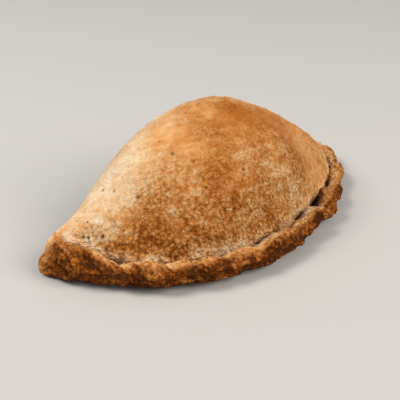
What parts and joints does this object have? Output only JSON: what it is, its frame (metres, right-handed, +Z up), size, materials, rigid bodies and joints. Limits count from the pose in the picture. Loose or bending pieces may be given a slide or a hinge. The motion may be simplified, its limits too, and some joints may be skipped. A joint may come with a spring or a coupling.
{
  "type": "calzone",
  "caption": "Baked folded pizza: a half-moon dome of golden-brown dough closed by a thick rolled and crimped rim, resting on its flat underside.",
  "frame": {"origin": "middle of the bounding box in plan, on the surface that the calzone rests on", "axes": "+Z up from the flat underside; +X along the length, from the blunt tip to the slim tip; +Y towards the folded side, so the crimped rim bows out towards -Y"},
  "size_m": [0.2642, 0.1266, 0.0754],
  "materials": {
    "crust": "baked bread crust, semi-matte, mottled golden brown with darker toasted patches and pale floury stretches"
  },
  "bodies": {
    "root": {"calzone": "crust"}
  },
  "joints": []
}
